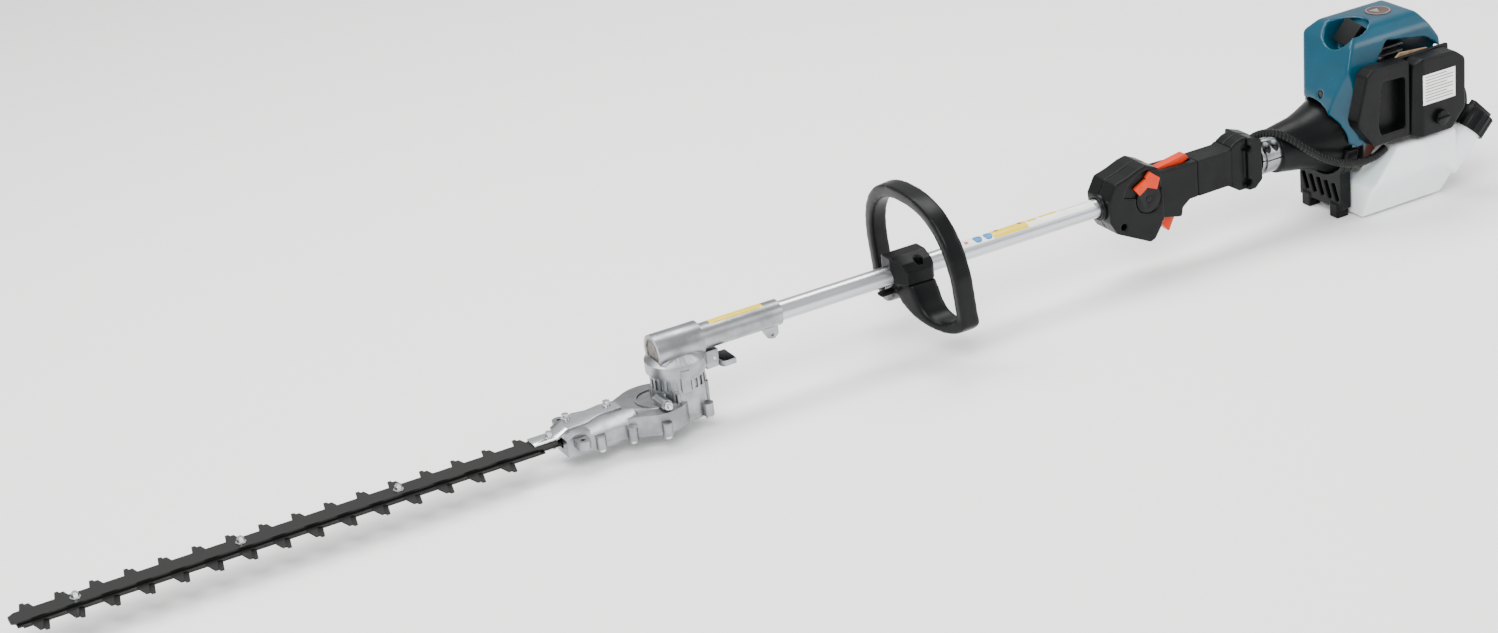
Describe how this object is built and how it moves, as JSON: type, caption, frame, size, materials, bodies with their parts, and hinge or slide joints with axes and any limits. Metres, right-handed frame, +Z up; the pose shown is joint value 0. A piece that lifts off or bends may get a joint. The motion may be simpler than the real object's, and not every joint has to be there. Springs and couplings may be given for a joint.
{
  "type": "hedge trimmer",
  "caption": "Petrol pole hedge trimmer: swivelling double-sided cutter head, straight pole with loop handle and trigger grip, small four-stroke engine.",
  "frame": {"origin": "on the pole's centre line, in the pole holder 31 mm in front of its rear end", "axes": "+X along the pole towards the engine, +Z up, -Y the air cleaner's side; the cutter points to -X"},
  "size_m": [1.9608, 0.21, 0.2527],
  "materials": {
    "pole_aluminium": "satin anodised",
    "cast_aluminium": "sand-blasted die casting",
    "blade_steel": "black oxide with worn edges",
    "bright_steel": "zinc plated",
    "gear_steel": "ground and oiled",
    "shaft_steel": "turned",
    "black_plastic": "fine moulded grain",
    "black_screw": "black oxide",
    "grip_rubber": "moulded, matt",
    "bush_rubber": "moulded",
    "orange_plastic": "moulded",
    "blue_cover": "moulded, glossy",
    "tank_plastic": "translucent blow moulding",
    "gasket_board": "pressed fibre board",
    "filter_felt": "felt",
    "plug_ceramic": "glazed",
    "muffler_steel": "heat tinted",
    "grey_cap": "moulded",
    "primer_plastic": "translucent",
    "conduit_plastic": "corrugated"
  },
  "bodies": {
    "frame": {"pole_tube": "pole_aluminium", "shaft_bushes": "bush_rubber", "pole_holder": "cast_aluminium", "end_plug": "grey_cap", "lever_pin": "bright_steel", "loop_handle": "black_plastic", "handle_cap": "black_plastic", "housing_screws": "black_screw", "trigger_shell_near": "black_plastic", "trigger_shell_far": "black_plastic", "rear_grip": "grip_rubber", "pole_clamp": "cast_aluminium", "clamp_screws": "black_screw", "clutch_housing": "black_plastic", "crankcase": "cast_aluminium", "cylinder": "cast_aluminium", "muffler": "muffler_steel", "heat_plate": "gasket_board", "carburettor": "cast_aluminium", "air_cleaner_base": "black_plastic", "air_filter": "filter_felt", "air_cleaner_cover": "black_plastic", "engine_cover": "blue_cover", "starter_housing": "black_plastic", "fuel_tank": "tank_plastic", "lower_shroud": "black_plastic", "spark_plug": "plug_ceramic", "plug_boot": "grip_rubber", "throttle_conduit": "conduit_plastic"},
    "cutter_head": {"gear_case": "cast_aluminium", "gear_case_cover": "cast_aluminium", "case_screws": "bright_steel", "guide_bar": "blade_steel", "guide_stay": "bright_steel", "blade_bolts": "bright_steel", "grease_nipples": "bright_steel"},
    "lock": {"lock_lever": "cast_aluminium", "lever_pad": "black_plastic"},
    "upper_cutter": {"upper_blade": "blade_steel", "upper_rod": "gear_steel"},
    "lower_cutter": {"lower_blade": "blade_steel", "lower_rod": "gear_steel"},
    "crank_wheel": {"crank_gear": "gear_steel"},
    "cross_drive": {"cross_shaft": "gear_steel", "bevel_gear": "gear_steel"},
    "pole_drive": {"drive_shaft": "shaft_steel", "bevel_pinion": "gear_steel", "clutch_drum": "shaft_steel"},
    "engine_rotor": {"crankshaft": "shaft_steel", "flywheel": "cast_aluminium", "clutch_shoes": "shaft_steel"},
    "trigger": {"throttle_trigger": "orange_plastic"},
    "lock_off": {"lock_off_lever": "orange_plastic"},
    "switch": {"stop_switch": "orange_plastic"},
    "tank_cap": {"fuel_cap": "black_plastic"},
    "cover_knob": {"air_cover_knob": "black_plastic"},
    "rope_pulley": {"starter_pulley": "black_plastic"},
    "rope_grip": {"starter_grip": "grip_rubber"},
    "choke": {"choke_lever": "black_plastic"},
    "primer": {"primer_bulb": "primer_plastic"}
  },
  "joints": [
    {"name": "head_swivel", "type": "hinge", "parent": "frame", "child": "cutter_head", "pos_m": [-0.168, 0, -0.05], "axis": [0, 0, 1], "range_deg": [-90, 90]},
    {"name": "lock_release", "type": "hinge", "parent": "frame", "child": "lock", "pos_m": [-0.122, 0, -0.028], "axis": [0, -1, 0], "range_deg": [0, 20], "stiffness_Nm_per_rad": 0.4, "springref_deg": -28.65},
    {"name": "pole_shaft_spin", "type": "hinge", "parent": "frame", "child": "pole_drive", "pos_m": [0.3, 0, 0], "axis": [1, 0, 0], "continuous": true},
    {"name": "cross_shaft_spin", "type": "hinge", "parent": "frame", "child": "cross_drive", "pos_m": [-0.168, 0, -0.03], "axis": [0, 0, 1], "continuous": true},
    {"name": "crank_spin", "type": "hinge", "parent": "cutter_head", "child": "crank_wheel", "pos_m": [-0.20325, 0, -0.071], "axis": [0, 0, 1], "continuous": true},
    {"name": "upper_blade_stroke", "type": "slide", "parent": "cutter_head", "child": "upper_cutter", "axis": [1, 0, 0], "range_m": [-0.004, 0.01]},
    {"name": "lower_blade_stroke", "type": "slide", "parent": "cutter_head", "child": "lower_cutter", "axis": [1, 0, 0], "range_m": [-0.01, 0.004]},
    {"name": "engine_spin", "type": "hinge", "parent": "frame", "child": "engine_rotor", "pos_m": [0.85, 0, 0], "axis": [1, 0, 0], "continuous": true},
    {"name": "throttle_pull", "type": "hinge", "parent": "frame", "child": "trigger", "pos_m": [0.508, 0, -0.021], "axis": [0, -1, 0], "range_deg": [0, 16], "stiffness_Nm_per_rad": 0.15, "springref_deg": -28.65},
    {"name": "lock_off_press", "type": "hinge", "parent": "frame", "child": "lock_off", "pos_m": [0.516, 0, 0.019], "axis": [0, 1, 0], "range_deg": [0, 8], "stiffness_Nm_per_rad": 0.15, "springref_deg": -28.65},
    {"name": "stop_switch_turn", "type": "hinge", "parent": "frame", "child": "switch", "pos_m": [0.486, -0.022, 0.001], "axis": [0, 1, 0], "range_deg": [-12, 12]},
    {"name": "fuel_cap_turn", "type": "hinge", "parent": "frame", "child": "tank_cap", "pos_m": [0.951, -0.066, -0.031], "axis": [0.7071, 0, 0.7071], "continuous": true},
    {"name": "air_cover_knob_turn", "type": "hinge", "parent": "frame", "child": "cover_knob", "pos_m": [0.889, -0.09, 0.02], "axis": [0, -1, 0], "range_deg": [0, 90]},
    {"name": "starter_pulley_spin", "type": "hinge", "parent": "frame", "child": "rope_pulley", "pos_m": [0.964, 0, 0], "axis": [1, 0, 0], "range_deg": [-1800, 0], "stiffness_Nm_per_rad": 0.002, "springref_deg": 572.96},
    {"name": "starter_grip_pull", "type": "slide", "parent": "frame", "child": "rope_grip", "axis": [0, 1, 0], "range_m": [0, 0.7]},
    {"name": "choke_turn", "type": "hinge", "parent": "frame", "child": "choke", "pos_m": [0.888, -0.055, 0.06], "axis": [0, 1, 0], "range_deg": [0, 30]},
    {"name": "primer_press", "type": "slide", "parent": "frame", "child": "primer", "axis": [0, 0, 1], "range_m": [0, 0.004], "stiffness_N_per_m": 800, "springref_m": -0.002}
  ],
  "couplings": [
    {"joint": "cross_shaft_spin", "follows": "pole_shaft_spin", "ratio": 0.7},
    {"joint": "crank_spin", "follows": "pole_shaft_spin", "ratio": -0.24},
    {"joint": "lower_blade_stroke", "follows": "upper_blade_stroke", "ratio": -1},
    {"joint": "starter_grip_pull", "follows": "starter_pulley_spin", "m_per_rad": -0.022}
  ]
}
